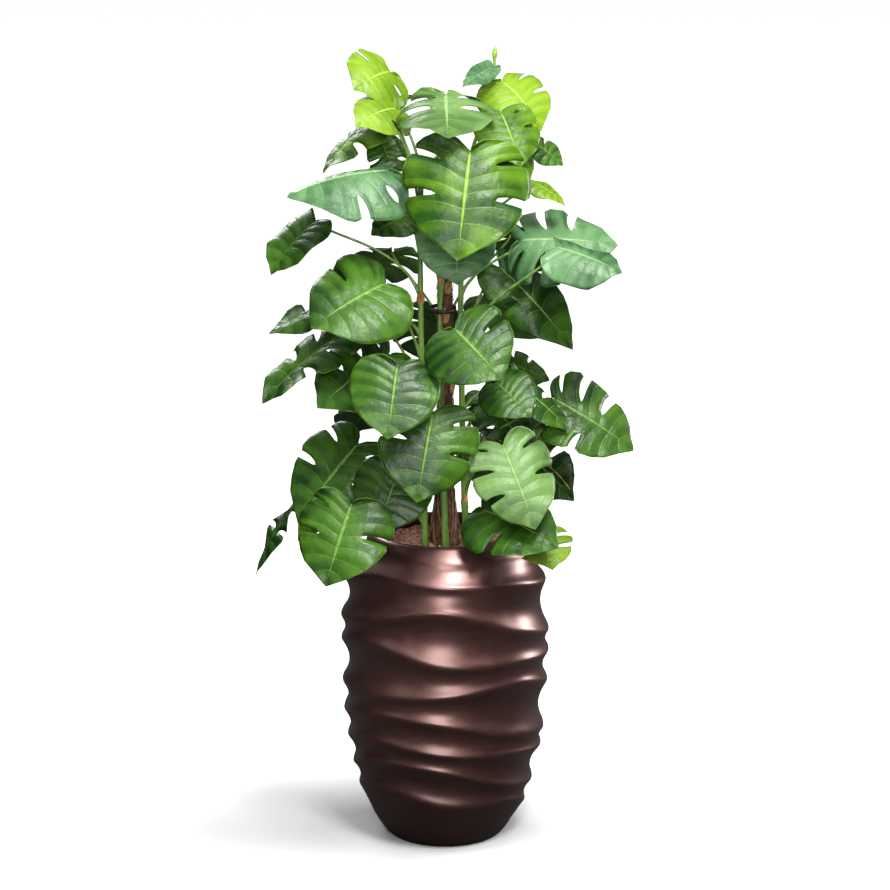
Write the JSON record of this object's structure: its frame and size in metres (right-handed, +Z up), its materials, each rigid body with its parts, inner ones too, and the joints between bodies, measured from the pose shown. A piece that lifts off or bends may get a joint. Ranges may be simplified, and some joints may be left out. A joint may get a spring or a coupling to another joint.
{
  "type": "potted monstera plant",
  "caption": "Climbing monstera with split leaves, tied to a coir pole in a tall rounded planter with wandering waves; decorative free-standing floor plant.",
  "frame": {"origin": "centre of the planter's flat underside", "axes": "+Z up along the planter's axis; -Y is the front of the plant; +X is the viewer's right"},
  "size_m": [0.7739, 0.5412, 1.633],
  "materials": {
    "planter_lacquer": "satin",
    "soil_earth": "matte",
    "gravel_red": "matte",
    "coir_fibre": "matte",
    "tie_black": "matte",
    "stem_skin": "satin",
    "leaf_young": "satin",
    "leaf_bright": "satin",
    "leaf_mid": "satin",
    "leaf_blue": "satin",
    "leaf_pale": "satin",
    "leaf_dark": "satin"
  },
  "bodies": {
    "root": {"planter": "planter_lacquer", "soil": "soil_earth", "gravel": "gravel_red", "coir_pole": "coir_fibre", "pole_tie": "tie_black", "stem_left": "stem_skin", "stem_front": "stem_skin", "stem_right": "stem_skin", "stem_back": "stem_skin", "new_leaf": "leaf_young", "front_upper": "leaf_bright", "front_mid_heart": "leaf_mid", "front_mid_right": "leaf_mid", "front_low_centre": "leaf_mid", "front_low_right": "leaf_pale", "low_left_front": "leaf_mid", "low_left_glossy": "leaf_dark", "low_right_broad": "leaf_dark", "low_left_broad": "leaf_dark", "left_mid_broad": "leaf_mid", "left_upper_broad": "leaf_blue", "crown_centre": "leaf_pale", "right_fingered": "leaf_blue", "front_upper_under": "leaf_blue", "crown_left": "leaf_young", "crown_left_lower": "leaf_young", "crown_right_broad": "leaf_young", "right_upper_drape": "leaf_bright", "right_upper_under": "leaf_bright", "right_lower_blue": "leaf_blue", "right_mid_long": "leaf_mid", "right_low_heart": "leaf_dark", "right_far": "leaf_mid", "right_low_light": "leaf_bright", "left_low_dark": "leaf_dark", "left_low_fingered": "leaf_mid", "left_hanging": "leaf_dark", "left_mid_edge": "leaf_dark", "left_mid_dark": "leaf_dark", "upper_left_fan": "leaf_bright", "left_mid_under": "leaf_mid", "upper_left_teal": "leaf_dark", "crown_back": "leaf_dark", "crown_right_narrow": "leaf_blue", "right_back_small": "leaf_mid", "right_pale": "leaf_young", "right_mid_back": "leaf_pale", "right_mid_fingers": "leaf_mid", "right_low_dark": "leaf_dark", "low_right_back": "leaf_mid", "low_right_young": "leaf_young", "low_left_young": "leaf_young", "low_left_thin": "leaf_dark", "low_back_pale": "leaf_pale", "back_top": "leaf_mid", "back_left": "leaf_mid", "back_right": "leaf_bright", "back_mid": "leaf_mid", "back_low_left": "leaf_dark", "back_low_right": "leaf_mid"}
  },
  "joints": []
}
